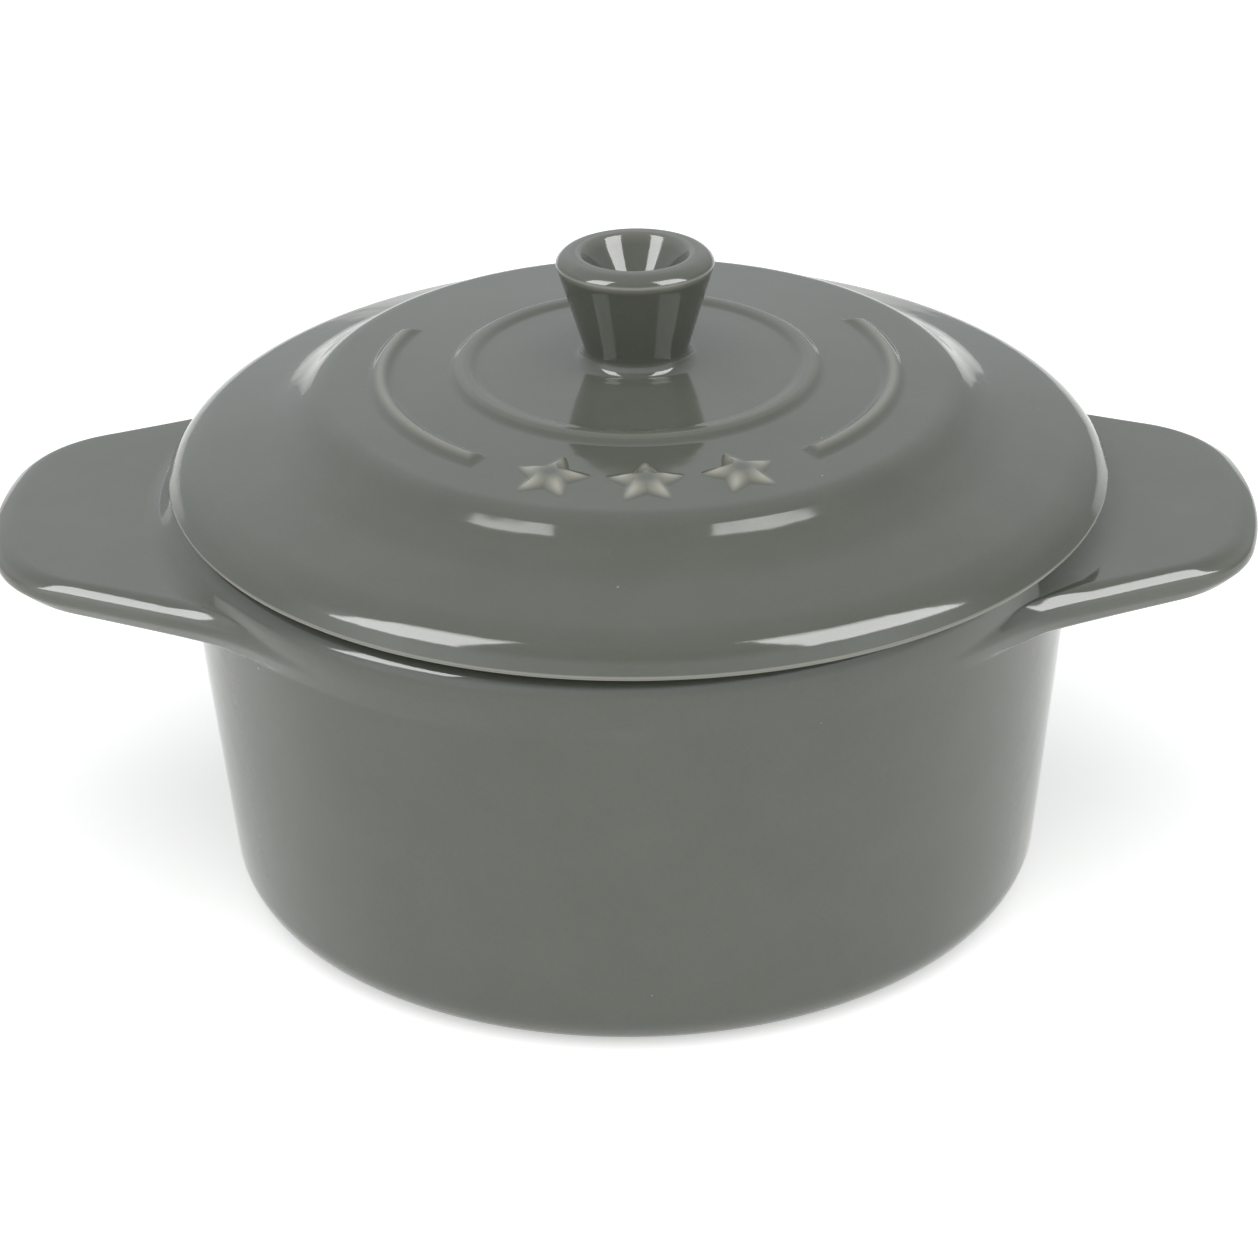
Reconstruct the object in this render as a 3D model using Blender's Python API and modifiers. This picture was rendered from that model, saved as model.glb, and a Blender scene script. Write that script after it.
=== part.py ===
"""Mini cocotte: a small round stoneware pot with two tab handles, and a lid with a cupped knob."""

import math

import bmesh
import bpy

# Pot: the wall's outer face runs straight from the base corner to the rim
POT_HEIGHT = 0.0482
RIM_RADIUS = 0.0505
BASE_RADIUS = 0.0455
WALL = 0.0050
BASE_THICKNESS = 0.0055
BASE_CORNER = 0.0056
INNER_CORNER = 0.0070
RIM_OUTER_ROUND = 0.0026
RIM_INNER_ROUND = 0.0015
FOOT_WIDTH = 0.0045
FOOT_RECESS = 0.0010

# Handles: two tabs formed in one with the pot, on the X axis
HANDLE_REACH = 0.0712
HANDLE_DROP = 0.0033
HANDLE_THICKNESS = 0.0056
HANDLE_TIP_THICKNESS = 0.0048
HANDLE_ROOT_WIDTH = 0.0535
HANDLE_TIP_WIDTH = 0.0310
HANDLE_TIP_BOW = 0.0036
HANDLE_FILLET = 0.0034

# Lid: heights are above the face that rests on the rim
LID_OVERHANG = 0.0022
EDGE_LIFT = 0.0003
EDGE_BREAK_INSET = 0.0037
EDGE_BREAK_HEIGHT = 0.00425
EDGE_SIDE_INSET = 0.00165
EDGE_SIDE_HEIGHT = 0.00285
EDGE_ROUND = 0.0066
EDGE_LOWER_ROUND = 0.0004
SEAT_WIDTH = 0.0060
VALLEY_RUN = 0.0032
VALLEY_HEIGHT = 0.00655
SLOPE_RUN = 0.0026
SLOPE_HEIGHT = 0.0085
SLOPE_ROUND = 0.0110
SHOULDER_RADIUS = 0.0353
SHOULDER_HEIGHT = 0.01085
SHOULDER_ROUND = 0.0042
FIELD_HEIGHT = 0.0123
BEAD_RADIUS = 0.01925
BEAD_WIDTH = 0.0030
BEAD_CREST_WIDTH = 0.0010
BEAD_HEIGHT = 0.0008
BEAD_ROUND = 0.0012
DISC_HEIGHT = 0.0127
DISC_CROWN = 0.0009
LID_WALL = 0.0046
FLANGE_PLAY = 0.0014
FLANGE_DEPTH = 0.0040
FLANGE_WIDTH = 0.0028
FLANGE_DRAFT = 0.0003
FLANGE_ROUND = 0.0007
CEILING_RUN = 0.0055
CEILING_ROUND = 0.0034

# Knob: a cone that widens upwards to a rounded lip around a funnel
KNOB_HEIGHT = 0.0260
KNOB_BASE_RADIUS = 0.0054
KNOB_FILLET = 0.0014
LIP_RADIUS = 0.0069
LIP_HALF_WIDTH = 0.0020
LIP_HALF_HEIGHT = 0.0019
LIP_CREASE_ANGLE = math.radians(20)
MOUTH_RADIUS = 0.0061
MOUTH_ROUND = 0.0010
FUNNEL_DEPTH = 0.0060
FUNNEL_FLOOR = 0.0016

# Raised ornament on the lid: two arcs and three stars on one ring
RELIEF_RING = 0.0285
RELIEF_HEIGHT = 0.0007
RELIEF_ROUND = 0.0003
ARC_WIDTH = 0.0027
ARC_FRONT_ANGLE = math.radians(38.5)
ARC_BACK_LINE = 0.0133
STAR_RADIUS = 0.0043
STAR_WAIST = 0.0021
STAR_SPACING = math.radians(20.9)
STAR_COUNT = 3
STAR_POINTS = 5

# Fit of the lid on the pot: it lies towards +X within its play, turned a little
SEAT_GAP = 0.0003
LID_SIDE_SHARE = 0.70
LID_TURN = math.radians(2.2)

# Fineness of the mesh
TURN_STEPS = 60
ARC_STEP = math.radians(30)
RELIEF_STEP = math.radians(10)
MERGE = 0.00001
EDGE_SHARE = 0.48
SMOOTH_LEVELS = 2

# Cage of a handle: places across it, steps out from the wall with their spread, both in fillets,
# and shares of the reach
ACROSS_SHARES = (1, 0.55, 0, -0.55, -1)
ROOT_SHARES = ((0.1, 1.0), (0.45, 0.35), (1.3, 0.0))
TIP_SHARES = (0.55, 0.85, 1.0)

GLAZE_GREY = (0.150, 0.161, 0.144, 1.0)
GLAZE_ROUGHNESS = 0.12


def wall_radius(z):
    """Radius of the pot's outer wall at height z."""
    return BASE_RADIUS + (RIM_RADIUS - BASE_RADIUS) * z / POT_HEIGHT


RIM_BORE = RIM_RADIUS - WALL
LID_RADIUS = RIM_RADIUS + LID_OVERHANG
FLANGE_RADIUS = RIM_BORE - FLANGE_PLAY
HANDLE_TOP = POT_HEIGHT - HANDLE_DROP
HANDLE_BOTTOM = HANDLE_TOP - HANDLE_THICKNESS


def rounded(corners):
    """Outline through corners (r, z, radius), each rounded by an arc that its two edges have room for."""
    points = []
    for i, (r, z, radius) in enumerate(corners):
        if radius == 0 or i in (0, len(corners) - 1):
            points.append((r, z))
            continue
        back = (corners[i - 1][0] - r, corners[i - 1][1] - z)
        ahead = (corners[i + 1][0] - r, corners[i + 1][1] - z)
        turn = math.atan2(ahead[1], ahead[0]) - math.atan2(-back[1], -back[0])
        turn = (turn + math.pi) % (2 * math.pi) - math.pi
        slope = abs(math.tan(turn / 2))
        reach = min(radius * slope, EDGE_SHARE * math.hypot(*back), EDGE_SHARE * math.hypot(*ahead))
        start_angle = math.atan2(-back[1], -back[0]) - math.copysign(math.pi / 2, turn)
        radius = reach / slope
        length = math.hypot(*back)
        start = (r + back[0] / length * reach, z + back[1] / length * reach)
        centre = (start[0] - radius * math.cos(start_angle), start[1] - radius * math.sin(start_angle))
        count = max(2, math.ceil(abs(turn) / ARC_STEP))
        for k in range(count + 1):
            angle = start_angle + turn * k / count
            points.append((centre[0] + radius * math.cos(angle), centre[1] + radius * math.sin(angle)))
    return points


def material(name):
    """Glossy grey glaze."""
    made = bpy.data.materials.new(name)
    made.use_nodes = True
    shader = made.node_tree.nodes["Principled BSDF"]
    shader.inputs["Base Color"].default_value = GLAZE_GREY
    shader.inputs["Roughness"].default_value = GLAZE_ROUGHNESS
    shader.inputs["Metallic"].default_value = 0
    return made


def new_object(name, data, collection, parent=None):
    made = bpy.data.objects.new(name, data)
    collection.objects.link(made)
    made.parent = parent
    return made


def turned(name, profile, collection, parent):
    """Solid of revolution about its own Z axis, from an outline that starts and ends on the axis."""
    mesh = bpy.data.meshes.new(name)
    edges = [(i, i + 1) for i in range(len(profile) - 1)]
    mesh.from_pydata([(r, 0, z) for r, z in profile], edges, [])
    made = new_object(name, mesh, collection, parent)
    screw = made.modifiers.new("Turn", "SCREW")
    screw.axis = "Z"
    screw.steps = TURN_STEPS
    screw.render_steps = TURN_STEPS
    screw.use_merge_vertices = True
    screw.merge_threshold = MERGE
    screw.use_smooth_shade = True
    return made


def joined(target, piece):
    union = target.modifiers.new("Join " + piece.name, "BOOLEAN")
    union.operation = "UNION"
    union.solver = "EXACT"
    union.object = piece


def helper(piece):
    piece.hide_render = True
    piece.display_type = "WIRE"
    return piece


def pot_profile():
    """From the middle of the inside floor, over the rim, down the wall and in under the base."""
    foot_inner = BASE_RADIUS - BASE_CORNER - FOOT_WIDTH
    return rounded([
        (0, BASE_THICKNESS, 0),
        (wall_radius(BASE_THICKNESS) - WALL, BASE_THICKNESS, INNER_CORNER),
        (RIM_BORE, POT_HEIGHT, RIM_INNER_ROUND),
        (RIM_RADIUS, POT_HEIGHT, RIM_OUTER_ROUND),
        (BASE_RADIUS, 0, BASE_CORNER),
        (foot_inner, 0, 0),
        (foot_inner - FOOT_RECESS, FOOT_RECESS, 0),
        (0, FOOT_RECESS, 0),
    ])


def handle_sections():
    """Loops across the handle from inside the wall to the tip, each along the top and back underneath.

    The root follows the round wall and spreads up and down into its fillets, the tip is a shallow bow.
    """
    wall = wall_radius((HANDLE_TOP + HANDLE_BOTTOM) / 2)
    root_angle = math.asin(HANDLE_ROOT_WIDTH / 2 / wall)
    reach = HANDLE_REACH - wall
    stations = [(-WALL / 2, HANDLE_FILLET)]
    stations += [(out * HANDLE_FILLET, spread * HANDLE_FILLET) for out, spread in ROOT_SHARES]
    stations += [(share * reach, 0) for share in TIP_SHARES]
    loops = []
    for out, spread in stations:
        share = max(0, out / reach)
        rise = (HANDLE_THICKNESS - HANDLE_TIP_THICKNESS) * share
        row = []
        for u in ACROSS_SHARES:
            angle = u * root_angle
            at_root = ((wall + out) * math.cos(angle), (wall + out) * math.sin(angle))
            at_tip = (wall + out - HANDLE_TIP_BOW * u * u, HANDLE_TIP_WIDTH / 2 * u)
            row.append([a + (b - a) * share for a, b in zip(at_root, at_tip)])
        top = [(x, y, HANDLE_TOP + spread) for x, y in row]
        bottom = [(x, y, HANDLE_BOTTOM + rise - spread) for x, y in reversed(row)]
        loops.append(top + bottom)
    return loops


def handles(collection, parent):
    """Both handles: a cage lofted through the sections, smoothed, and mirrored to the other side."""
    cage = bmesh.new()
    loops = [[cage.verts.new(point) for point in loop] for loop in handle_sections()]
    count = len(loops[0])
    for near, far in zip(loops, loops[1:]):
        for i in range(count):
            j = (i + 1) % count
            cage.faces.new((near[i], near[j], far[j], far[i]))
    for end in (loops[0], loops[-1]):
        for i in range(count // 2 - 1):
            cage.faces.new((end[i], end[i + 1], end[count - 2 - i], end[count - 1 - i]))
    bmesh.ops.recalc_face_normals(cage, faces=cage.faces)
    mesh = bpy.data.meshes.new("handles")
    cage.to_mesh(mesh)
    cage.free()
    mesh.shade_smooth()
    made = helper(new_object("handles", mesh, collection, parent))
    smooth = made.modifiers.new("Smooth", "SUBSURF")
    smooth.levels = SMOOTH_LEVELS
    smooth.render_levels = SMOOTH_LEVELS
    mirror = made.modifiers.new("Other side", "MIRROR")
    mirror.use_axis = (True, False, False)
    mirror.merge_threshold = MERGE
    return made


def knob_profile():
    """From the bottom of the funnel over the rounded lip to the crease below it."""
    floor = KNOB_HEIGHT - FUNNEL_DEPTH
    profile = rounded([
        (0, floor, 0),
        (FUNNEL_FLOOR, floor, FUNNEL_FLOOR),
        (MOUTH_RADIUS, KNOB_HEIGHT, MOUTH_ROUND),
        (LIP_RADIUS, KNOB_HEIGHT, 0),
    ])
    middle = KNOB_HEIGHT - LIP_HALF_HEIGHT
    sweep = math.pi / 2 - LIP_CREASE_ANGLE
    steps = math.ceil(sweep / ARC_STEP)
    for k in range(1, steps + 1):
        angle = math.pi / 2 - sweep * k / steps
        r = LIP_RADIUS + LIP_HALF_WIDTH * math.cos(angle)
        profile.append((r, middle + LIP_HALF_HEIGHT * math.sin(angle)))
    return profile


def cover_profile():
    """From the crease under the lip down the cone, then over the disc, bead and shoulder to the edge."""
    crest = FIELD_HEIGHT + BEAD_HEIGHT
    return rounded([
        (*knob_profile()[-1], 0),
        (KNOB_BASE_RADIUS, DISC_HEIGHT + DISC_CROWN, KNOB_FILLET),
        (BEAD_RADIUS - BEAD_WIDTH / 2, DISC_HEIGHT, BEAD_ROUND),
        (BEAD_RADIUS - BEAD_CREST_WIDTH / 2, crest, BEAD_ROUND),
        (BEAD_RADIUS + BEAD_CREST_WIDTH / 2, crest, BEAD_ROUND),
        (BEAD_RADIUS + BEAD_WIDTH / 2, FIELD_HEIGHT, BEAD_ROUND),
        (SHOULDER_RADIUS, SHOULDER_HEIGHT, SHOULDER_ROUND),
        (SHOULDER_RADIUS + SLOPE_RUN, SLOPE_HEIGHT, SLOPE_ROUND),
        (SHOULDER_RADIUS + SLOPE_RUN + VALLEY_RUN, VALLEY_HEIGHT, SLOPE_ROUND),
        (LID_RADIUS - EDGE_BREAK_INSET, EDGE_BREAK_HEIGHT, EDGE_ROUND),
        (LID_RADIUS - EDGE_SIDE_INSET, EDGE_SIDE_HEIGHT, EDGE_ROUND),
        (LID_RADIUS, EDGE_LIFT, 0),
    ])


def height_at(r):
    """Height of the cover's upper side at radius r, outside the knob."""
    cover = cover_profile()
    for (r0, z0), (r1, z1) in zip(cover, cover[1:]):
        if r0 < r <= r1:
            return z0 + (z1 - z0) * (r - r0) / (r1 - r0)


def lid_profile():
    """The knob and cover, then the edge, the seat, the flange that drops into the pot, and the ceiling."""
    bore = FLANGE_RADIUS - FLANGE_WIDTH
    ceiling = bore - FLANGE_DRAFT - CEILING_RUN
    cover = cover_profile()
    under = rounded([
        (*cover[-2], 0),
        (LID_RADIUS, EDGE_LIFT, EDGE_LOWER_ROUND),
        (FLANGE_RADIUS + SEAT_WIDTH, 0, 0),
        (FLANGE_RADIUS, 0, FLANGE_ROUND),
        (FLANGE_RADIUS - FLANGE_DRAFT, -FLANGE_DEPTH, FLANGE_ROUND),
        (bore, -FLANGE_DEPTH, FLANGE_ROUND),
        (bore - FLANGE_DRAFT, height_at(bore) - LID_WALL, CEILING_ROUND),
        (ceiling, height_at(ceiling) - LID_WALL, CEILING_ROUND),
        (0, DISC_HEIGHT - LID_WALL, 0),
    ])
    return knob_profile() + cover[1:-2] + under


def slab(name, outline, depth, collection, parent):
    """Flat piece with softened edges: a filled outline extruded both ways, then welded into one mesh."""
    curve = bpy.data.curves.new(name, "CURVE")
    curve.dimensions = "2D"
    curve.fill_mode = "BOTH"
    curve.extrude = depth / 2 - RELIEF_ROUND
    curve.bevel_depth = RELIEF_ROUND
    curve.bevel_resolution = 1
    curve.offset = -RELIEF_ROUND
    spline = curve.splines.new("POLY")
    spline.points.add(len(outline) - 1)
    for point, (x, y) in zip(spline.points, outline):
        point.co = (x, y, 0, 1)
    spline.use_cyclic_u = True
    flat = new_object(name + "_outline", curve, collection)
    graph = bpy.context.evaluated_depsgraph_get()
    mesh = bpy.data.meshes.new_from_object(flat.evaluated_get(graph))
    bpy.data.objects.remove(flat)
    welded = bmesh.new()
    welded.from_mesh(mesh)
    bmesh.ops.remove_doubles(welded, verts=welded.verts, dist=MERGE)
    bmesh.ops.recalc_face_normals(welded, faces=welded.faces)
    welded.to_mesh(mesh)
    welded.free()
    return helper(new_object(name, mesh, collection, parent))


def polar(r, angle):
    """Point at an angle from the front, towards +X."""
    return (r * math.sin(angle), -r * math.cos(angle))


def arc_outline(side):
    """A strip along the ring, square at the front and cut straight across at the back."""
    inner = RELIEF_RING - ARC_WIDTH / 2
    outer = RELIEF_RING + ARC_WIDTH / 2
    outline = []
    for r, ends in ((inner, (0, 1)), (outer, (1, 0))):
        back = math.pi / 2 + math.asin(ARC_BACK_LINE / r)
        span = [ARC_FRONT_ANGLE + (back - ARC_FRONT_ANGLE) * end for end in ends]
        steps = math.ceil(abs(span[1] - span[0]) / RELIEF_STEP)
        for k in range(steps + 1):
            outline.append(polar(r, side * (span[0] + (span[1] - span[0]) * k / steps)))
    return outline


def star_outline():
    """Points about the origin, one of them towards the knob."""
    outline = []
    for k in range(2 * STAR_POINTS):
        r = STAR_WAIST if k % 2 else STAR_RADIUS
        outline.append(polar(r, math.pi + k * math.pi / STAR_POINTS))
    return outline


def relief(collection, parent):
    """The two arcs, and the stars tilted with the field, sunk into it by as much as it falls away there."""
    low = height_at(RELIEF_RING + STAR_RADIUS) - RELIEF_HEIGHT
    high = height_at(RELIEF_RING) + RELIEF_HEIGHT
    fall = height_at(RELIEF_RING - STAR_RADIUS) - height_at(RELIEF_RING + STAR_RADIUS)
    tilt = math.atan2(fall, 2 * STAR_RADIUS)
    pieces = []
    for name, side in (("arc_left", -1), ("arc_right", 1)):
        piece = slab(name, arc_outline(side), high - low, collection, parent)
        piece.location.z = (high + low) / 2
        pieces.append(piece)
    for k in range(STAR_COUNT):
        angle = (k - (STAR_COUNT - 1) / 2) * STAR_SPACING
        piece = slab(f"star_{k + 1}", star_outline(), high - low, collection, parent)
        piece.location = (*polar(RELIEF_RING, angle), (high + low) / 2)
        piece.rotation_euler = (tilt, 0, angle)
        pieces.append(piece)
    return pieces


for old in list(bpy.data.objects):
    bpy.data.objects.remove(old)

parts = bpy.data.collections.new("Mini cocotte")
tools = bpy.data.collections.new("Joined shapes")
for made in (parts, tools):
    bpy.context.scene.collection.children.link(made)

cocotte = new_object("mini_cocotte", None, parts)

pot = turned("pot", pot_profile(), parts, cocotte)
joined(pot, handles(tools, pot))
pot.data.materials.append(material("pot_glaze"))

lid = turned("lid", lid_profile(), parts, cocotte)
lid.location = (FLANGE_PLAY * LID_SIDE_SHARE, 0, POT_HEIGHT + SEAT_GAP)
lid.rotation_euler.z = LID_TURN
for piece in relief(tools, lid):
    joined(lid, piece)
lid.data.materials.append(material("lid_glaze"))
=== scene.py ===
import math

import bpy
import numpy as np
from mathutils import Matrix, Vector


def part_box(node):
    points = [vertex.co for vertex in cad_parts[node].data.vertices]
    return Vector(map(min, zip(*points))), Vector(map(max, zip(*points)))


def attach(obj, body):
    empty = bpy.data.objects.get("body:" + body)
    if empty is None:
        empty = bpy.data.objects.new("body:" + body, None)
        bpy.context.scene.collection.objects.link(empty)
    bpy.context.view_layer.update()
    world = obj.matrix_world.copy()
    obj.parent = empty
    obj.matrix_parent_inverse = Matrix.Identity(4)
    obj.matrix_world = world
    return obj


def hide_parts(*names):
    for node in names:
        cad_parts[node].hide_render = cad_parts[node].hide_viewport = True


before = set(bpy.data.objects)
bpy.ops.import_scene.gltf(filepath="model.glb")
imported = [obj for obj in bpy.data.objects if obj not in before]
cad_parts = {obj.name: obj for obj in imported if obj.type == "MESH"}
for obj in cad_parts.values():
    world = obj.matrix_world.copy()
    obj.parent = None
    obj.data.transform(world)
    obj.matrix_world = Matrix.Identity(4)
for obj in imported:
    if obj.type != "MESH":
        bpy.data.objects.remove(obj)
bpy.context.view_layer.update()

# The pot is pressed stoneware, formed in one with its two tab handles. Its thick wall widens a little
# from a rounded base to a rounded rim, and it stands on a low foot ring. It is dipped in grey glaze, and
# the foot ring is wiped bare before firing.
MM = 0.001
POT_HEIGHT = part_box("pot")[1].z / MM
HANDLE_STRETCH = 0.85
HANDLE_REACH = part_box("pot")[1].x / MM + HANDLE_STRETCH
RIM_RADIUS = 50.5
BASE_RADIUS = 45.5
WALL = 5.0
BASE_THICKNESS = 5.5
BASE_CORNER = 5.6
INNER_CORNER = 7.0
RIM_OUTER_ROUND = 3.0
RIM_ROLL = 1.05
RIM_ROLL_RUN = 7.5
RIM_BREAK = 2.2
RIM_BREAK_RIGHT = 0.8
RIM_BREAK_AT_HANDLE = 1.0
RIM_INNER_ROUND = 1.5
FOOT_WIDTH = 4.5
FOOT_RECESS = 1.0
HANDLE_DROP = 3.37
HANDLE_THICKNESS = 4.8
HANDLE_TIP_TAPER = 0.8
HANDLE_TIP_RADIUS = 46.0
HANDLE_SIDE_DISTANCE = 43.4
HANDLE_SIDE_FACING = math.radians(66.2)
HANDLE_CORNER_ROUND = 13.0
HANDLE_SHIFT = -0.55
HANDLE_ROOT_EASE = 5.0
HANDLE_CROWN = 0.1
HANDLE_BREAK_INSET = 3.0
HANDLE_SIDE_DROP = 1.9
HANDLE_UNDER_INSET = 2.2
HANDLE_GROW_RUN = 3.0
HANDLE_UPPER_ROUND = 3.0
HANDLE_LOWER_ROUND = 2.0
HANDLE_ROOT_RUN = 2.3
HANDLE_UPPER_FILLET = 3.4
HANDLE_LOWER_FILLET = 3.6
FADE_RUN = 2.5
FADE_DROP = 0.6
FADE_SPREAD = 0.9
POT_COLUMNS = 600
EDGE_SHARE = 0.48
LEAST_REACH = 0.3
SMALLEST = 1e-6


def smooth_min(a, b, width):
    """The lower of two values, eased into each other where they differ by less than the width."""
    near = np.clip(1 - np.abs(a - b) / width, 0, 1)
    return np.minimum(a, b) - width * near ** 2 / 4


def smooth_step(t):
    """A cubic step, three times the square less twice the cube, from 0 at t = 0 to 1 at t = 1."""
    t = np.clip(t, 0, 1)
    return t * t * (3 - 2 * t)


def rounded(corners, columns):
    """Outline through corners (r, z, radius, points on its arc, points on the edge after it), in all columns.

    Each corner becomes the circular arc of its radius that touches both edges, written as a rational
    quadratic curve whose middle weight is the cosine of half the turn, and takes at most a share of each
    edge. It returns (row, r or z, column), and the bend: one over the radius, above 0 where convex.
    """
    spots = np.stack([np.stack([np.broadcast_to(v, columns) for v in corner[:2]]) for corner in corners])
    blocks = []
    bends = []
    for i, (radius, arc) in enumerate(corner[2:4] for corner in corners):
        if radius == 0:
            blocks.append(spots[i][None])
            bends.append(np.zeros((1, columns)))
            continue
        back = spots[i - 1] - spots[i]
        ahead = spots[i + 1] - spots[i]
        back_length = np.maximum(np.linalg.norm(back, axis=0), SMALLEST)
        ahead_length = np.maximum(np.linalg.norm(ahead, axis=0), SMALLEST)
        back = back / back_length
        ahead = ahead / ahead_length
        cosine = np.sqrt(np.clip((1 - (back * ahead).sum(axis=0)) / 2, SMALLEST, 1))
        tangent = np.sqrt(1 - cosine ** 2) / cosine
        reach = np.maximum(radius * tangent, LEAST_REACH)
        reach = np.minimum(reach, EDGE_SHARE * np.minimum(back_length, ahead_length))
        t = np.linspace(0, 1, arc)[:, None, None]
        weights = ((1 - t) ** 2, 2 * t * (1 - t) * cosine, t ** 2)
        knots = (spots[i] + back * reach, spots[i], spots[i] + ahead * reach)
        blocks.append(sum(w * k for w, k in zip(weights, knots)) / sum(weights))
        convex = np.sign(back[0] * ahead[1] - back[1] * ahead[0])
        bends.append(np.tile(convex * tangent / np.maximum(reach, SMALLEST), (arc, 1)))
    rows = [blocks[0]]
    bend = [bends[0]]
    for corner, block, after, value in zip(corners, blocks, blocks[1:], bends[1:]):
        fill = corner[4]
        t = np.linspace(0, 1, fill + 2)[1:-1, None, None]
        rows += [block[-1] + (after[0] - block[-1]) * t, after]
        bend += [np.zeros((fill, columns)), value]
    return np.concatenate(rows), np.concatenate(bend)


def turned_piece(name, points, values):
    """Closed mesh from points (row, column, xyz) in mm whose first and last rows lie on the axis.

    Rows between them are rings of quads, and each end row is one point with a fan of triangles. Each value
    (row, column) becomes an attribute of the points.
    """
    rows, columns = points.shape[:2]
    flat = np.concatenate([points[:1, 0], points[1:-1].reshape(-1, 3), points[-1:, 0]])
    ring = 1 + np.arange((rows - 2) * columns).reshape(rows - 2, columns)
    beside = np.roll(ring, -1, axis=1)
    quads = np.stack([ring[:-1], ring[1:], beside[1:], beside[:-1]], axis=-1).reshape(-1, 4)
    first = np.stack([np.zeros(columns, int), ring[0], beside[0]], axis=-1)
    last = np.stack([ring[-1], np.full(columns, len(flat) - 1), beside[-1]], axis=-1)
    mesh = bpy.data.meshes.new(name)
    mesh.from_pydata(flat * MM, [], quads.tolist() + first.tolist() + last.tolist())
    mesh.shade_smooth()
    for label, value in values.items():
        value = np.concatenate([value[:1, 0], value[1:-1].ravel(), value[-1:, 0]])
        mesh.attributes.new(label, "FLOAT", "POINT").data.foreach_set("value", value.astype(np.float32))
    made = bpy.data.objects.new(name, mesh)
    bpy.context.scene.collection.objects.link(made)
    return made


def wall_radius(z, roll):
    """The wall's outer radius grows evenly with height, and swells by a smooth cubic step towards the rim."""
    swollen = roll * smooth_step((z - POT_HEIGHT + RIM_BREAK) / RIM_ROLL_RUN + 1)
    return BASE_RADIUS + (RIM_RADIUS - BASE_RADIUS) * z / POT_HEIGHT + swollen


def circle_edge(ray, middle, radius):
    """Distance from the pot's axis along each ray to the far side of a circle: how far along the ray the
    circle's middle lies, plus half the chord."""
    ahead = middle @ ray
    return ahead + np.sqrt(np.maximum(radius ** 2 - middle @ middle + ahead ** 2, 0))


def handle_edge(angle, roll):
    """Distance from the axis to the outline of pot and handles at an angle, and to the wall alone.

    The tip is a shallow arc about a point on the handle's own axis, and each side is a straight line. The
    corner between them is an arc whose middle lies its radius inside both, and the sides ease into the wall.
    Both handles are shifted along their axis by a fraction of a millimetre, as hand work leaves them.
    """
    off_axis = np.abs((angle + math.pi / 2) % math.pi - math.pi / 2)
    ray = np.stack([np.cos(off_axis), np.sin(off_axis)])
    outward = np.array([math.cos(HANDLE_SIDE_FACING), math.sin(HANDLE_SIDE_FACING)])
    along = np.array([outward[1], -outward[0]])
    tip_middle = np.array([HANDLE_REACH - HANDLE_TIP_RADIUS, 0])
    start = (HANDLE_SIDE_DISTANCE - HANDLE_CORNER_ROUND) * outward - tip_middle
    apart = HANDLE_TIP_RADIUS - HANDLE_CORNER_ROUND
    to_corner = start + along * (math.sqrt(apart ** 2 - (start @ outward) ** 2) - start @ along)
    corner_middle = tip_middle + to_corner
    on_tip = tip_middle + to_corner * HANDLE_TIP_RADIUS / apart
    on_side = corner_middle + outward * HANDLE_CORNER_ROUND
    tip = circle_edge(ray, tip_middle, HANDLE_TIP_RADIUS)
    corner = circle_edge(ray, corner_middle, HANDLE_CORNER_ROUND)
    side = HANDLE_SIDE_DISTANCE / (outward @ ray)
    handle = np.where(off_axis < math.atan2(*on_side[::-1]), corner, side)
    handle = np.where(off_axis < math.atan2(*on_tip[::-1]), tip, handle) + HANDLE_SHIFT * np.cos(angle)
    wall = wall_radius(POT_HEIGHT - HANDLE_DROP - HANDLE_THICKNESS / 2, roll)
    return -smooth_min(-handle, -wall, HANDLE_ROOT_EASE), wall


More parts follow.
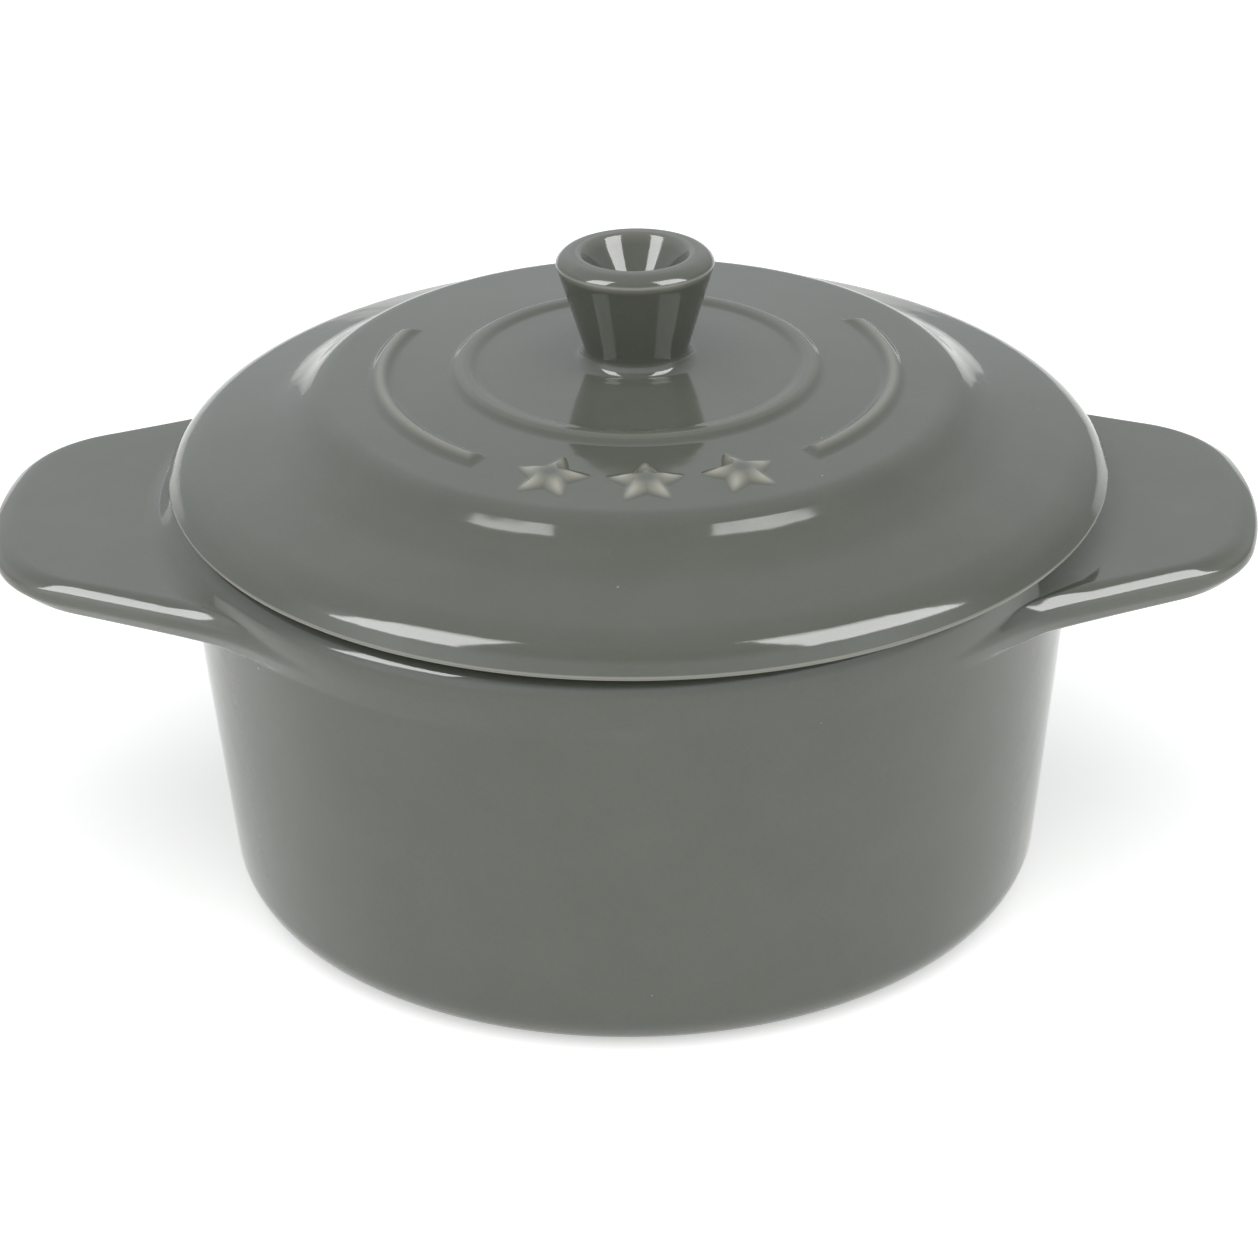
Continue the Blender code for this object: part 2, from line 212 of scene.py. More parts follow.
def pot_surface():
    """Outline from the inside floor over the rim and round the handle to the base, turned about the axis.

    The corners of the handle move with its outline, so that its section shrinks into the wall where the
    outline meets the wall. Its rounds grow with the distance from the wall as one less a falling exponential,
    and where the handle dies out, its corners fade to even steps down the wall. The rim's roll is full on the
    left and dies out, as a cosine, to the right.
    """
    angle = np.arange(POT_COLUMNS) * 2 * math.pi / POT_COLUMNS
    left_share = (1 - np.cos(angle)) / 2
    roll = RIM_ROLL * left_share
    edge, wall = handle_edge(angle, roll)
    swell = edge - wall
    grow = 1 - np.exp(-swell / HANDLE_GROW_RUN)
    root = (HANDLE_ROOT_RUN + RIM_ROLL - roll) * grow ** 3
    rim_break = RIM_BREAK_RIGHT + (RIM_BREAK - RIM_BREAK_RIGHT) * left_share
    rim_break = rim_break + (RIM_BREAK_AT_HANDLE - rim_break) * grow ** 2
    rim_side = POT_HEIGHT - rim_break
    level = POT_HEIGHT - HANDLE_DROP
    taper = HANDLE_TIP_TAPER * swell / (HANDLE_REACH - wall)
    drops = np.stack(np.broadcast_arrays(
        0, HANDLE_CROWN * grow, HANDLE_SIDE_DROP, HANDLE_THICKNESS - taper, HANDLE_THICKNESS))
    on_wall = FADE_DROP + FADE_SPREAD * np.arange(len(drops))[:, None]
    fade = np.clip(1 - swell / FADE_RUN, 0, 1) ** 2
    top, edge_top, side, under, bottom = level - drops - (on_wall - drops) * fade
    foot = BASE_RADIUS - BASE_CORNER - FOOT_WIDTH
    outline, bend = rounded([
        (0, BASE_THICKNESS, 0, 1, 5),
        (wall_radius(BASE_THICKNESS, roll) - WALL, BASE_THICKNESS, INNER_CORNER, 10, 5),
        (RIM_RADIUS - WALL, POT_HEIGHT, RIM_INNER_ROUND, 7, 1),
        (wall_radius(POT_HEIGHT, roll) - rim_break, POT_HEIGHT, RIM_OUTER_ROUND, 7, 0),
        (wall_radius(rim_side, roll), rim_side, RIM_OUTER_ROUND, 7, 0),
        (wall_radius(top, roll) + root, top, HANDLE_UPPER_FILLET, 8, 7),
        (wall_radius(edge_top, roll) + swell - HANDLE_BREAK_INSET * grow, edge_top, HANDLE_UPPER_ROUND, 7, 0),
        (wall_radius(side, roll) + swell, side, HANDLE_UPPER_ROUND, 7, 0),
        (wall_radius(under, roll) + swell - HANDLE_UNDER_INSET * grow, under, HANDLE_LOWER_ROUND, 9, 7),
        (wall_radius(bottom, roll), bottom, HANDLE_LOWER_FILLET, 10, 8),
        (BASE_RADIUS, 0, BASE_CORNER, 12, 3),
        (foot, 0, 0, 1, 1),
        (foot - FOOT_RECESS, FOOT_RECESS, 0, 1, 4),
        (0, FOOT_RECESS, 0, 1, 0),
    ], POT_COLUMNS)
    r, z = outline[:, 0], outline[:, 1]
    points = np.stack([r * np.cos(angle), r * np.sin(angle), z], axis=-1)
    bare = ((z < SMALLEST) & (r > foot - SMALLEST)).astype(float)
    return points, {"bend": bend * grow ** 2, "bare": bare}


def linear(code):
    """Linear colour from an sRGB hex code: the sRGB curve undone for each channel."""
    channels = [int(code[i:i + 2], 16) / 255 for i in (1, 3, 5)]
    return [c / 12.92 if c <= 0.04045 else ((c + 0.055) / 1.055) ** 2.4 for c in channels] + [1]


def add_node(tree, kind, inputs, **settings):
    """A new node with its settings. An input is linked if it is given a socket, and set if given a value."""
    node = tree.nodes.new(kind)
    for name, value in settings.items():
        setattr(node, name, value)
    for name, value in inputs.items():
        if isinstance(value, bpy.types.NodeSocket):
            tree.links.new(value, node.inputs[name])
        else:
            node.inputs[name].default_value = value
    return node


GLAZE = "#61635a"
GLAZE_DEEP = "#5d5f56"
# Pale colour of thin glaze over convex edges, also painted on the stars' tips, where it is partly a painted
# highlight.
GLAZE_THIN_AND_STAR_HIGHLIGHT = "#b2afa2"
GLAZE_POOLED = "#474a44"
SPECK = "#94958b"
BISQUE = "#b5a288"
CLOUD_SIZE = 9.0
CLOUD_DETAIL = 3
CLOUD_FROM = 0.35
CLOUD_TO = 0.65
# The glaze's own grain is finer than this, and is drawn as coarse as it has to be to show.
GRAIN_SIZE = 0.45
GRAIN_DETAIL = 2
GRAIN_SHARE = 0.35
RIPPLE_SIZE = 4.0
RIPPLE_DETAIL = 1
RIPPLE_HEIGHT = 0.03
SPECK_SPACING = 7.0
SPECK_RADIUS = 0.16
GLAZE_IOR = 1.55
GLAZE_ROUGHNESS = 0.08
BISQUE_ROUGHNESS = 0.85
THIN_FROM = 0.3
THIN_TO = 6.0
THIN_MOST = 0.8
POOLED_MOST = 0.8


def glazed_stoneware(name):
    """Stoneware under a glossy grey glaze: cloudy and faintly grained, paler and warmer where the glaze runs
    thin over a tight convex edge and towards the stars' tips, where the paleness is partly thin glaze and
    partly a painted highlight; darker where it pools, with a ripple that breaks up its highlights."""
    made = bpy.data.materials.new(name)
    made.use_nodes = True
    tree = made.node_tree
    tree.nodes.clear()
    place = add_node(tree, "ShaderNodeTexCoord", {}).outputs["Object"]
    bend = add_node(tree, "ShaderNodeAttribute", {}, attribute_name="bend").outputs["Fac"]
    bare = add_node(tree, "ShaderNodeAttribute", {}, attribute_name="bare").outputs["Fac"]
    clouds = add_node(tree, "ShaderNodeTexNoise", {
        "Vector": place, "Scale": 1 / (CLOUD_SIZE * MM), "Detail": CLOUD_DETAIL})
    grain = add_node(tree, "ShaderNodeTexNoise", {
        "Vector": place, "Scale": 1 / (GRAIN_SIZE * MM), "Detail": GRAIN_DETAIL})
    ripple = add_node(tree, "ShaderNodeTexNoise", {
        "Vector": place, "Scale": 1 / (RIPPLE_SIZE * MM), "Detail": RIPPLE_DETAIL})
    mixed = add_node(tree, "ShaderNodeMix", {
        0: GRAIN_SHARE, 2: clouds.outputs["Fac"], 3: grain.outputs["Fac"]})
    cloudy = add_node(tree, "ShaderNodeMapRange", {
        "Value": mixed.outputs[0], "From Min": CLOUD_FROM, "From Max": CLOUD_TO})
    body = add_node(tree, "ShaderNodeMix", {
        0: cloudy.outputs[0], 6: linear(GLAZE_DEEP), 7: linear(GLAZE)}, data_type="RGBA")
    thin_and_star_highlight = add_node(tree, "ShaderNodeMapRange", {
        "Value": bend, "From Min": THIN_FROM, "From Max": THIN_TO, "To Max": THIN_MOST})
    # Paler where the glaze runs thin, and towards the stars' tips, where the paleness is partly a painted
    # highlight.
    thinned_and_star_highlit = add_node(tree, "ShaderNodeMix", {
        0: thin_and_star_highlight.outputs[0], 6: body.outputs[2], 7: linear(GLAZE_THIN_AND_STAR_HIGHLIGHT)}, data_type="RGBA")
    pool = add_node(tree, "ShaderNodeMapRange", {
        "Value": bend, "From Min": -THIN_FROM, "From Max": -THIN_TO, "To Max": POOLED_MOST})
    pooled = add_node(tree, "ShaderNodeMix", {
        0: pool.outputs[0], 6: thinned_and_star_highlit.outputs[2], 7: linear(GLAZE_POOLED)}, data_type="RGBA")
    cells = add_node(tree, "ShaderNodeTexVoronoi", {"Vector": place, "Scale": 1 / (SPECK_SPACING * MM)})
    near = SPECK_RADIUS / SPECK_SPACING
    spot = add_node(tree, "ShaderNodeMapRange", {
        "Value": cells.outputs["Distance"], "From Min": near, "From Max": near / 2})
    specked = add_node(tree, "ShaderNodeMix", {
        0: spot.outputs[0], 6: pooled.outputs[2], 7: linear(SPECK)}, data_type="RGBA")
    colour = add_node(tree, "ShaderNodeMix", {
        0: bare, 6: specked.outputs[2], 7: linear(BISQUE)}, data_type="RGBA")
    rough = add_node(tree, "ShaderNodeMapRange", {
        "Value": bare, "To Min": GLAZE_ROUGHNESS, "To Max": BISQUE_ROUGHNESS})
    bump = add_node(tree, "ShaderNodeBump", {
        "Height": ripple.outputs["Fac"], "Distance": RIPPLE_HEIGHT * MM, "Strength": 1})
    shader = add_node(tree, "ShaderNodeBsdfPrincipled", {
        "Base Color": colour.outputs[2], "Roughness": rough.outputs[0], "IOR": GLAZE_IOR,
        "Normal": bump.outputs["Normal"]})
    add_node(tree, "ShaderNodeOutputMaterial", {"Surface": shader.outputs["BSDF"]})
    return made


pot = turned_piece("pot_body", *pot_surface())
pot.data.materials.append(glazed_stoneware("glazed_stoneware_pot"))
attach(pot, "pot")
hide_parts("pot")

# The lid is pressed stoneware in the same glaze: a low dome with a rounded edge, a stepped shoulder, a bead
# around a flat disc, and a cupped knob drawn up from it in one. Two arcs and three stars stand up from its
# field. A flange below it, bare at its foot, drops into the pot with play.
LID_X = (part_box("lid")[0].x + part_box("lid")[1].x) / 2 / MM
SEAT_GAP = 0.3
SEAT_HEIGHT = POT_HEIGHT + SEAT_GAP
LID_TURN = math.radians(2.2)
LID_BACK = 0.4
LID_LEFT_RISE = 0.25
LID_FRONT_RISE = 0.18
LID_OVERHANG = 2.2
LID_RADIUS = RIM_RADIUS + LID_OVERHANG
EDGE_LIFT = 0.3
EDGE_BREAK_INSET = 3.7
EDGE_BREAK_HEIGHT = 4.25
EDGE_SIDE_INSET = 1.65
EDGE_SIDE_HEIGHT = 2.85
EDGE_ROUND = 6.6
EDGE_LOWER_ROUND = 0.3
SEAT_WIDTH = 6.0
SHOULDER_RADIUS = 35.3
SHOULDER_HEIGHT = 10.85
SHOULDER_ROUND = 4.2
SLOPE_RUN = 2.6
SLOPE_RADIUS = SHOULDER_RADIUS + SLOPE_RUN
SLOPE_HEIGHT = 8.52
SLOPE_ROUND = 11.0
VALLEY_RUN = 3.2
VALLEY_RADIUS = SLOPE_RADIUS + VALLEY_RUN
VALLEY_HEIGHT = 6.55
FIELD_HEIGHT = 12.3
BEAD_RADIUS = 19.25
BEAD_WIDTH = 3.0
BEAD_CREST_WIDTH = 1.0
BEAD_HEIGHT = 0.8
BEAD_ROUND = 1.2
DISC_HEIGHT = 12.7
DISC_CROWN = 0.9
LID_WALL = 4.6
FLANGE_PLAY = 1.4
FLANGE_RADIUS = RIM_RADIUS - WALL - FLANGE_PLAY
FLANGE_DEPTH = 4.0
FLANGE_WIDTH = 2.8
FLANGE_DRAFT = 0.3
FLANGE_ROUND = 0.7
CEILING_RUN = 5.5
CEILING_ROUND = 3.4
KNOB_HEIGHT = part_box("lid")[1].z / MM - SEAT_HEIGHT
KNOB_BASE_RADIUS = 5.4
KNOB_FILLET = 1.4
KNOB_LEAN = math.radians(2.3)
LIP_RADIUS = 6.9
LIP_HALF_WIDTH = 2.0
LIP_HALF_HEIGHT = 1.9
LIP_CREASE_ANGLE = math.radians(20)
LIP_POINTS = 9
CREASE_ROUND = 0.5
MOUTH_RADIUS = 6.1
MOUTH_ROUND = 1.0
FUNNEL_DEPTH = 6.0
FUNNEL_FLOOR = 1.6
RELIEF_RING = 28.5
RELIEF_HEIGHT = 0.75
RELIEF_THINNING = 2.8
ARC_WIDTH = 2.7
ARC_FRONT_ANGLE = math.radians(38.5)
ARC_BACK_LINE = 13.3
ARC_RAMP = 1.5
STAR_RADIUS = 4.0
STAR_WAIST = 1.95
STAR_SPACING = math.radians(20.9)
STAR_COUNT = 3
STAR_POINTS = 5
STAR_RAMP = 1.3
# Paler star tips: partly thin glaze, partly a painted highlight.
STAR_TIP_THIN_GLAZE_AND_HIGHLIGHT = 22.0
STAR_RIDGE_EASE = 0.35
FOOT_OF_RAMP = 0.2
FINE_DEGREES = 0.38
COARSE_DEGREES = 1.8
FRONT_MARGIN_DEGREES = 2.5
BACK_MARGIN_DEGREES = 3.0


def stepped(stops, steps):
    """Angles from the first stop to the last, in even steps of about the given size between stops."""
    spans = [np.linspace(a, b, math.ceil((b - a) / step), endpoint=False)
             for a, b, step in zip(stops, stops[1:], steps)]
    return np.radians(np.concatenate(spans))


def ramp(depth, run):
    """0 outside an outline and 1 at a depth inside it, with a smooth cubic step between."""
    return smooth_step((depth + FOOT_OF_RAMP) / run)


def arc_depth(r, angle):
    """How far a place lies inside the nearer arc: the least of its distances to the two sides, the radial
    front end and the straight back end."""
    sides = ARC_WIDTH / 2 - np.abs(r - RELIEF_RING)
    front = (np.abs(angle) - ARC_FRONT_ANGLE) * r
    back = ARC_BACK_LINE + r * np.cos(angle)
    return np.minimum(np.minimum(sides, front), back)


def star_depth(r, angle, middle):
    """How far a place lies inside a star, and its distance from the star's middle in shares of the radius.

    Angles about the middle are folded into half a point, whose one side runs from tip to waist, and the depth
    is the distance to that side. The ridge from the middle to each tip is eased as a hyperbola.
    """
    across = r * np.sin(angle - middle)
    inward = RELIEF_RING - r * np.cos(angle - middle)
    turn = 2 * math.pi / STAR_POINTS
    folded = np.abs((np.arctan2(across, inward) + turn / 2) % turn - turn / 2)
    distance = np.hypot(across, inward)
    waist = (STAR_WAIST * math.cos(turn / 2), STAR_WAIST * math.sin(turn / 2))
    normal = np.array([waist[1], STAR_RADIUS - waist[0]]) / math.hypot(waist[1], STAR_RADIUS - waist[0])
    off_ridge = np.hypot(distance * np.sin(folded), STAR_RIDGE_EASE) - STAR_RIDGE_EASE
    depth = (STAR_RADIUS - distance * np.cos(folded)) * normal[0] - off_ridge * normal[1]
    return depth, distance / STAR_RADIUS


def lid_surface():
    """Outline from the funnel over the lip, down the cone, over the cover and back underneath, turned about
    the axis, with the arcs and stars raised on it as smooth steps.

    The columns lie closer together at the stars and at the arcs' ends. The knob is sheared to lean back a
    little, and the whole lid is tilted by a height that grows evenly across it. The bend that thins the glaze
    grows with the cube of an arc's height. On a star it grows with the square of the distance from its
    middle, which paints the tips paler, partly as thin glaze and partly as a painted highlight.
    """
    arc_back = 90 + math.degrees(math.asin(ARC_BACK_LINE / RELIEF_RING))
    inner, outer = arc_back - BACK_MARGIN_DEGREES, arc_back + BACK_MARGIN_DEGREES
    front = math.degrees(ARC_FRONT_ANGLE) + FRONT_MARGIN_DEGREES
    angle = stepped([-180, -outer, -inner, -front, front, inner, outer, 180],
                    [COARSE_DEGREES, FINE_DEGREES] * 3 + [COARSE_DEGREES])
    columns = len(angle)
    lip_middle = KNOB_HEIGHT - LIP_HALF_HEIGHT
    lip_angle = np.linspace(math.pi / 2, LIP_CREASE_ANGLE, LIP_POINTS)
    lip = np.stack([LIP_RADIUS + LIP_HALF_WIDTH * np.cos(lip_angle),
                    lip_middle + LIP_HALF_HEIGHT * np.sin(lip_angle)])
    floor = KNOB_HEIGHT - FUNNEL_DEPTH
    funnel, funnel_bend = rounded([
        (0, floor, 0, 1, 1),
        (FUNNEL_FLOOR, floor, FUNNEL_FLOOR, 6, 4),
        (MOUTH_RADIUS, KNOB_HEIGHT, MOUTH_ROUND, 8, 1),
        (LIP_RADIUS, KNOB_HEIGHT, 0, 1, 0),
    ], columns)
    crest = FIELD_HEIGHT + BEAD_HEIGHT
    bore = FLANGE_RADIUS - FLANGE_WIDTH
    ceiling = bore - FLANGE_DRAFT - CEILING_RUN
    dome_fall = (VALLEY_HEIGHT - EDGE_BREAK_HEIGHT) / (LID_RADIUS - EDGE_BREAK_INSET - VALLEY_RADIUS)
    over_bore = VALLEY_HEIGHT - dome_fall * (bore - VALLEY_RADIUS)
    cover, cover_bend = rounded([
        (*lip[:, -2], 0, 1, 0),
        (*lip[:, -1], CREASE_ROUND, 6, 14),
        (KNOB_BASE_RADIUS, DISC_HEIGHT + DISC_CROWN, KNOB_FILLET, 8, 4),
        (BEAD_RADIUS - BEAD_WIDTH / 2, DISC_HEIGHT, BEAD_ROUND, 5, 0),
        (BEAD_RADIUS - BEAD_CREST_WIDTH / 2, crest, BEAD_ROUND, 6, 0),
        (BEAD_RADIUS + BEAD_CREST_WIDTH / 2, crest, BEAD_ROUND, 6, 0),
        (BEAD_RADIUS + BEAD_WIDTH / 2, FIELD_HEIGHT, BEAD_ROUND, 5, 74),
        (SHOULDER_RADIUS, SHOULDER_HEIGHT, SHOULDER_ROUND, 10, 0),
        (SLOPE_RADIUS, SLOPE_HEIGHT, SLOPE_ROUND, 6, 0),
        (VALLEY_RADIUS, VALLEY_HEIGHT, SLOPE_ROUND, 6, 5),
        (LID_RADIUS - EDGE_BREAK_INSET, EDGE_BREAK_HEIGHT, EDGE_ROUND, 8, 0),
        (LID_RADIUS - EDGE_SIDE_INSET, EDGE_SIDE_HEIGHT, EDGE_ROUND, 8, 8),
        (LID_RADIUS, EDGE_LIFT, EDGE_LOWER_ROUND, 5, 1),
        (FLANGE_RADIUS + SEAT_WIDTH, 0, 0, 1, 2),
        (FLANGE_RADIUS, 0, FLANGE_ROUND, 4, 1),
        (FLANGE_RADIUS - FLANGE_DRAFT, -FLANGE_DEPTH, FLANGE_ROUND, 4, 1),
        (bore, -FLANGE_DEPTH, FLANGE_ROUND, 4, 1),
        (bore - FLANGE_DRAFT, over_bore - LID_WALL, CEILING_ROUND, 6, 1),
        (ceiling, SHOULDER_HEIGHT - LID_WALL, CEILING_ROUND, 6, 4),
        (0, DISC_HEIGHT - LID_WALL, 0, 1, 0),
    ], columns)
    lip_rows = np.repeat(lip.T[1:-2, :, None], columns, axis=2)
    lip_bend = np.full((len(lip_rows), columns), 1 / LIP_HALF_WIDTH)
    outline = np.concatenate([funnel, lip_rows, cover])
    bend = np.concatenate([funnel_bend, lip_bend, cover_bend])
    r, z = outline[:, 0], outline[:, 1]
    on_field = (np.arange(len(r)) < np.argmax(r[:, 0]))[:, None]
    raised = ramp(arc_depth(r, angle), ARC_RAMP) * on_field
    bend = bend + RELIEF_THINNING * raised ** 3
    for k in range(STAR_COUNT):
        depth, share = star_depth(r, angle, (k - (STAR_COUNT - 1) / 2) * STAR_SPACING)
        star = ramp(depth, STAR_RAMP) * on_field
        raised = np.maximum(raised, star)
        # Each star is painted paler towards its tips, partly as thin glaze and partly as a painted highlight.
        bend = bend + STAR_TIP_THIN_GLAZE_AND_HIGHLIGHT * star * share ** 2
    z = z + RELIEF_HEIGHT * raised
    x, y = r * np.sin(angle + LID_TURN), -r * np.cos(angle + LID_TURN)
    tilt = -(LID_LEFT_RISE * x + LID_FRONT_RISE * y) / LID_RADIUS
    above = np.maximum(z - DISC_HEIGHT - DISC_CROWN, 0)
    lean = math.tan(KNOB_LEAN) * np.stack([np.zeros_like(y), above, -y * above / np.max(above)], axis=-1)
    points = np.stack([LID_X + x, LID_BACK + y, SEAT_HEIGHT + z + tilt], axis=-1) + lean
    bare = (z < SMALLEST - FLANGE_DEPTH).astype(float)
    return points, {"bend": bend, "bare": bare}


lid = turned_piece("lid_body", *lid_surface())
lid.data.materials.append(glazed_stoneware("glazed_stoneware_lid"))
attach(lid, "lid")
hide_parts("lid")

# The floor is a sheet of matt white card under the pot. It is shown at full white away from the pot and
# keeps the pot's own shadow.
FLOOR_SIZE = 4.0
FLOOR_COLOUR = "#f4f4f3"
FLOOR_GLOW = 0.58
half = FLOOR_SIZE / 2
card = bpy.data.meshes.new("floor")
card.from_pydata([(-half, -half, 0), (half, -half, 0), (half, half, 0), (-half, half, 0)], [], [(0, 1, 2, 3)])
floor = bpy.data.objects.new("floor", card)
bpy.context.scene.collection.objects.link(floor)
white_card = bpy.data.materials.new("white_card")
white_card.use_nodes = True
tree = white_card.node_tree
tree.nodes.clear()
path = add_node(tree, "ShaderNodeLightPath", {})
seen = add_node(tree, "ShaderNodeMath", {
    0: path.outputs["Is Camera Ray"], 1: path.outputs["Is Glossy Ray"]}, operation="MAXIMUM")
seen = add_node(tree, "ShaderNodeMath", {
    0: seen.outputs[0], 1: path.outputs["Is Transmission Ray"]}, operation="MAXIMUM")
glow = add_node(tree, "ShaderNodeMath", {0: seen.outputs[0], 1: FLOOR_GLOW}, operation="MULTIPLY")
matt = add_node(tree, "ShaderNodeBsdfDiffuse", {"Color": linear(FLOOR_COLOUR)})
lit = add_node(tree, "ShaderNodeEmission", {"Color": linear(FLOOR_COLOUR), "Strength": glow.outputs[0]})
both = add_node(tree, "ShaderNodeAddShader", {0: matt.outputs[0], 1: lit.outputs[0]})
add_node(tree, "ShaderNodeOutputMaterial", {"Surface": both.outputs[0]})
card.materials.append(white_card)

# The light is a studio's: two upright softboxes beside the camera, which show in the glaze and fade towards
# their tops, and a broad lamp overhead. The room fills the shade from both sides, and in the glaze it shows
# white behind the pot and dim in front of it, but for a bright band low in front.
AIM = Vector((0, 0, 0.055))
SOFTBOX_FACING = math.radians(28)
SOFTBOX_DISTANCE = 0.6
SOFTBOX_RADIANCE = 9.0
SOFTBOX_TOP_RADIANCE = 5.5
SOFTBOX_TOP_SHARE = 0.25
OVERHEAD_ELEVATION = math.radians(65)
OVERHEAD_DISTANCE = 1.2
OVERHEAD_SIZE = 1.6
OVERHEAD_RADIANCE = 1.95
BACKGROUND_COLOUR = "#ffffff"
BACKGROUND_STRENGTH = 1.0
ROOM_COLOUR = "#f1f7fb"
ROOM_FILL = 0.07
ROOM_SIDE_FILL = 0.97
ROOM_FRONT = 0.34
ROOM_BACK = 1.0
ROOM_RIGHT = -0.2
ROOM_LOW_FRONT = 1.3
ROOM_LOW_FROM = 0.75
ROOM_LOW_TO = 0.5
ROOM_FRONT_FROM = 0.1
ROOM_FRONT_TO = -0.4
ROOM_HORIZON = 0.65
ROOM_HIGH = 1.12
ROOM_HIGH_FROM = 0.5


def lamp(name, place, way, width, height, radiance):
    """A rectangular lamp with its middle at a place and its back along a direction.

    Its power is its radiance times pi times its area.
    """
    light = bpy.data.lights.new(name, "AREA")
    light.shape = "RECTANGLE"
    light.size = width
    light.size_y = height
    light.energy = radiance * math.pi * width * height
    made = bpy.data.objects.new(name, light)
    bpy.context.scene.collection.objects.link(made)
    made.location = place
    made.rotation_euler = way.to_track_quat("Z", "Y").to_euler()
    return made


def softbox(name, side, near, far, low, high):
    """An upright softbox on one side. Its bounds along its face and above the aim are shares of its distance.

    Its face is two lamps, one above the other, because it fades towards its top.
    """
    way = Vector((side * math.sin(SOFTBOX_FACING), -math.cos(SOFTBOX_FACING), 0))
    along = Vector((side * math.cos(SOFTBOX_FACING), math.sin(SOFTBOX_FACING), 0))
    fade = high - SOFTBOX_TOP_SHARE * (high - low)
    for part, bottom, top, radiance in (("lower", low, fade, SOFTBOX_RADIANCE),
                                        ("upper", fade, high, SOFTBOX_TOP_RADIANCE)):
        middle = way + along * (near + far) / 2 + Vector((0, 0, (bottom + top) / 2))
        size = SOFTBOX_DISTANCE * (far - near), SOFTBOX_DISTANCE * (top - bottom)
        made = lamp(f"{name}_{part}", AIM + SOFTBOX_DISTANCE * middle, way, *size, radiance)
        made.visible_diffuse = False


softbox("softbox_right", side=1, near=0.28, far=1.50, low=0.80, high=2.49)
softbox("softbox_left", side=-1, near=0.36, far=1.27, low=0.80, high=2.42)
up_front = Vector((0, -math.cos(OVERHEAD_ELEVATION), math.sin(OVERHEAD_ELEVATION)))
overhead = lamp("overhead", AIM + OVERHEAD_DISTANCE * up_front, up_front, OVERHEAD_SIZE, OVERHEAD_SIZE,
                OVERHEAD_RADIANCE)
overhead.visible_glossy = False
room = bpy.data.worlds.new("studio")
bpy.context.scene.world = room
room.use_nodes = True
tree = room.node_tree
tree.nodes.clear()
path = add_node(tree, "ShaderNodeLightPath", {})
place = add_node(tree, "ShaderNodeTexCoord", {})
way = add_node(tree, "ShaderNodeSeparateXYZ", {0: place.outputs["Generated"]})
depth = add_node(tree, "ShaderNodeMapRange", {
    "Value": way.outputs["Y"], "From Min": -1, "To Min": ROOM_FRONT, "To Max": ROOM_BACK})
height = add_node(tree, "ShaderNodeMapRange", {
    "Value": way.outputs["Z"], "From Max": ROOM_HIGH_FROM, "To Min": ROOM_HORIZON, "To Max": ROOM_HIGH})
wall = add_node(tree, "ShaderNodeMath", {0: depth.outputs[0], 1: height.outputs[0]}, operation="MULTIPLY")
side = add_node(tree, "ShaderNodeMath", {
    0: way.outputs["X"], 1: ROOM_RIGHT, 2: wall.outputs[0]}, operation="MULTIPLY_ADD")
mirrored = add_node(tree, "ShaderNodeMath", {
    0: path.outputs["Is Glossy Ray"], 1: path.outputs["Is Transmission Ray"]}, operation="MAXIMUM")
low = add_node(tree, "ShaderNodeMapRange", {
    "Value": way.outputs["Z"], "From Min": ROOM_LOW_FROM, "From Max": ROOM_LOW_TO, "To Max": ROOM_LOW_FRONT})
ahead = add_node(tree, "ShaderNodeMapRange", {
    "Value": way.outputs["Y"], "From Min": ROOM_FRONT_FROM, "From Max": ROOM_FRONT_TO})
bright = add_node(tree, "ShaderNodeMath", {
    0: low.outputs[0], 1: ahead.outputs[0], 2: side.outputs[0]}, operation="MULTIPLY_ADD")
sideways = add_node(tree, "ShaderNodeMath", {0: way.outputs["X"], 1: way.outputs["X"]}, operation="MULTIPLY")
fill = add_node(tree, "ShaderNodeMath", {
    0: sideways.outputs[0], 1: ROOM_SIDE_FILL, 2: ROOM_FILL}, operation="MULTIPLY_ADD")
seen = add_node(tree, "ShaderNodeMix", {0: mirrored.outputs[0], 2: fill.outputs[0], 3: bright.outputs[0]})
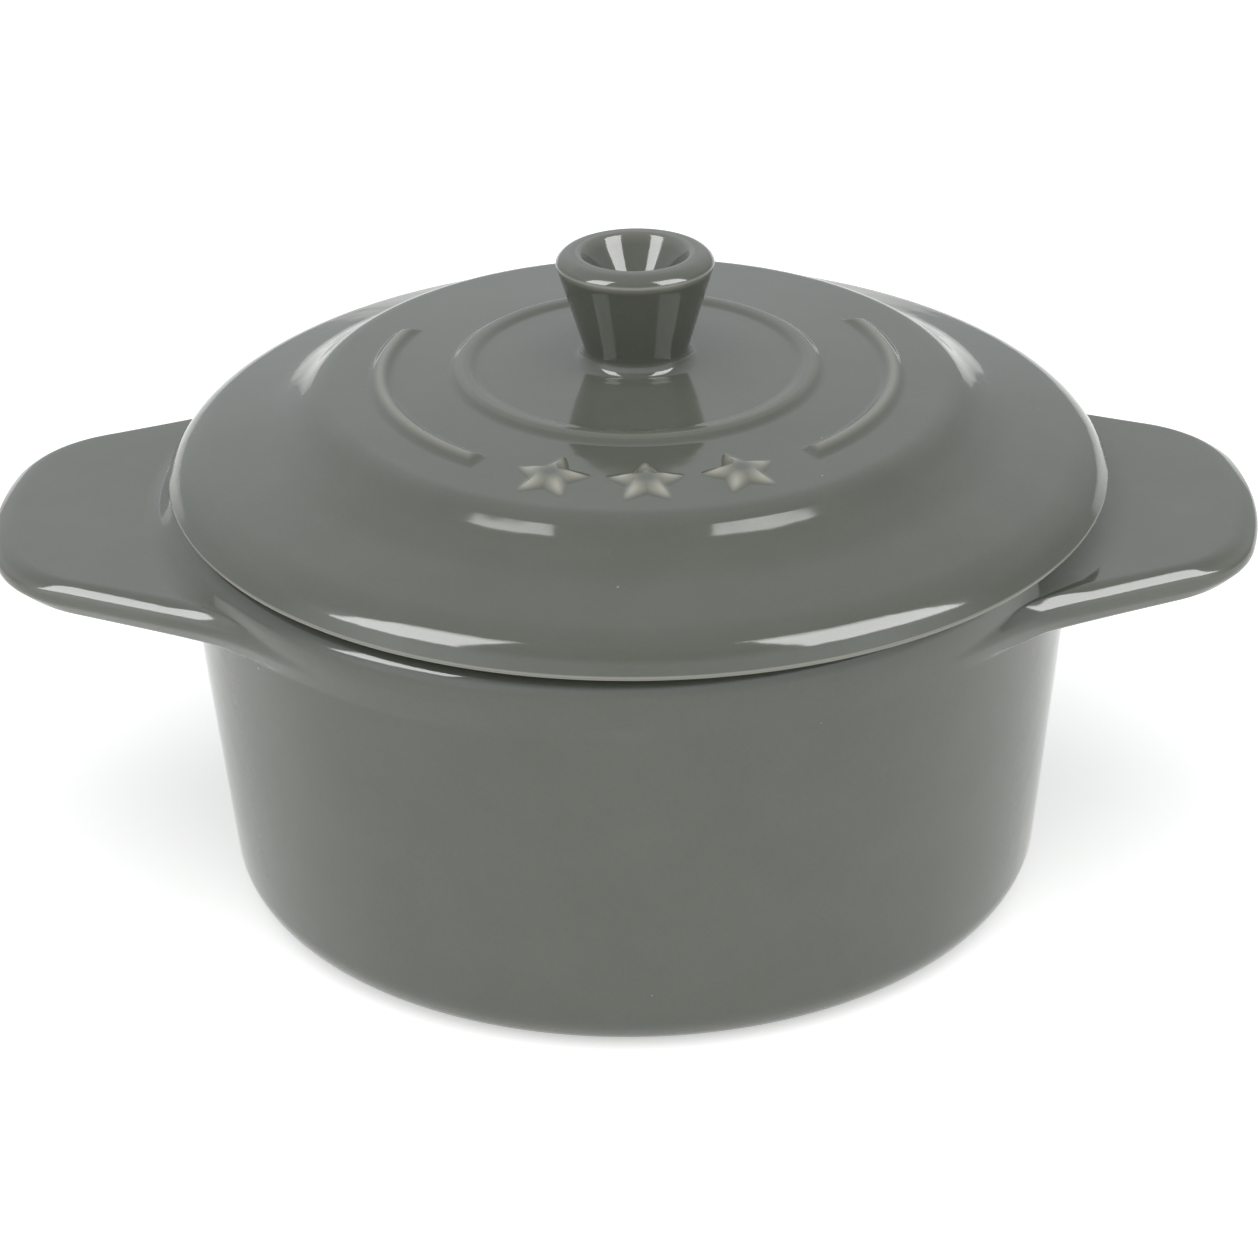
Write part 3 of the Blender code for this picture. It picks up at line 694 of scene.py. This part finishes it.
strength = add_node(tree, "ShaderNodeMix", {
    0: path.outputs["Is Camera Ray"], 2: seen.outputs[0], 3: BACKGROUND_STRENGTH})
tint = add_node(tree, "ShaderNodeMix", {
    0: path.outputs["Is Camera Ray"], 6: linear(ROOM_COLOUR), 7: linear(BACKGROUND_COLOUR)}, data_type="RGBA")
air = add_node(tree, "ShaderNodeBackground", {"Color": tint.outputs[2], "Strength": strength.outputs[0]})
add_node(tree, "ShaderNodeOutputWorld", {"Surface": air.outputs[0]})

# The camera stands at the photograph's view, in front of the pot and above it, with a long lens, and is
# rolled a little to one side.
CAMERA_AIM = Vector((-0.27, 0, 28.2)) * MM
CAMERA_DISTANCE = 560 * MM
CAMERA_AZIMUTH = math.radians(0.7)
CAMERA_ELEVATION = math.radians(27.17)
CAMERA_ROLL = math.radians(-1.0)
FOCAL_PIXELS = 4917
IMAGE_PIXELS = 1260
SENSOR = 36.0
lens = bpy.data.cameras.new("camera")
lens.sensor_width = SENSOR
lens.sensor_fit = "HORIZONTAL"
lens.lens = SENSOR * FOCAL_PIXELS / IMAGE_PIXELS
camera = bpy.data.objects.new("camera", lens)
bpy.context.scene.collection.objects.link(camera)
level_right = Vector((math.cos(CAMERA_AZIMUTH), math.sin(CAMERA_AZIMUTH), 0))
away = Vector((-math.sin(CAMERA_AZIMUTH), math.cos(CAMERA_AZIMUTH), 0))
back = Vector((0, 0, math.sin(CAMERA_ELEVATION))) - away * math.cos(CAMERA_ELEVATION)
level_up = Vector((0, 0, math.cos(CAMERA_ELEVATION))) + away * math.sin(CAMERA_ELEVATION)
right = level_right * math.cos(CAMERA_ROLL) + level_up * math.sin(CAMERA_ROLL)
up = level_up * math.cos(CAMERA_ROLL) - level_right * math.sin(CAMERA_ROLL)
turn = Matrix((right, up, back)).transposed().to_4x4()
camera.matrix_world = Matrix.Translation(CAMERA_AIM + back * CAMERA_DISTANCE) @ turn
bpy.context.scene.camera = camera
bpy.context.scene.view_settings.view_transform = "Standard"
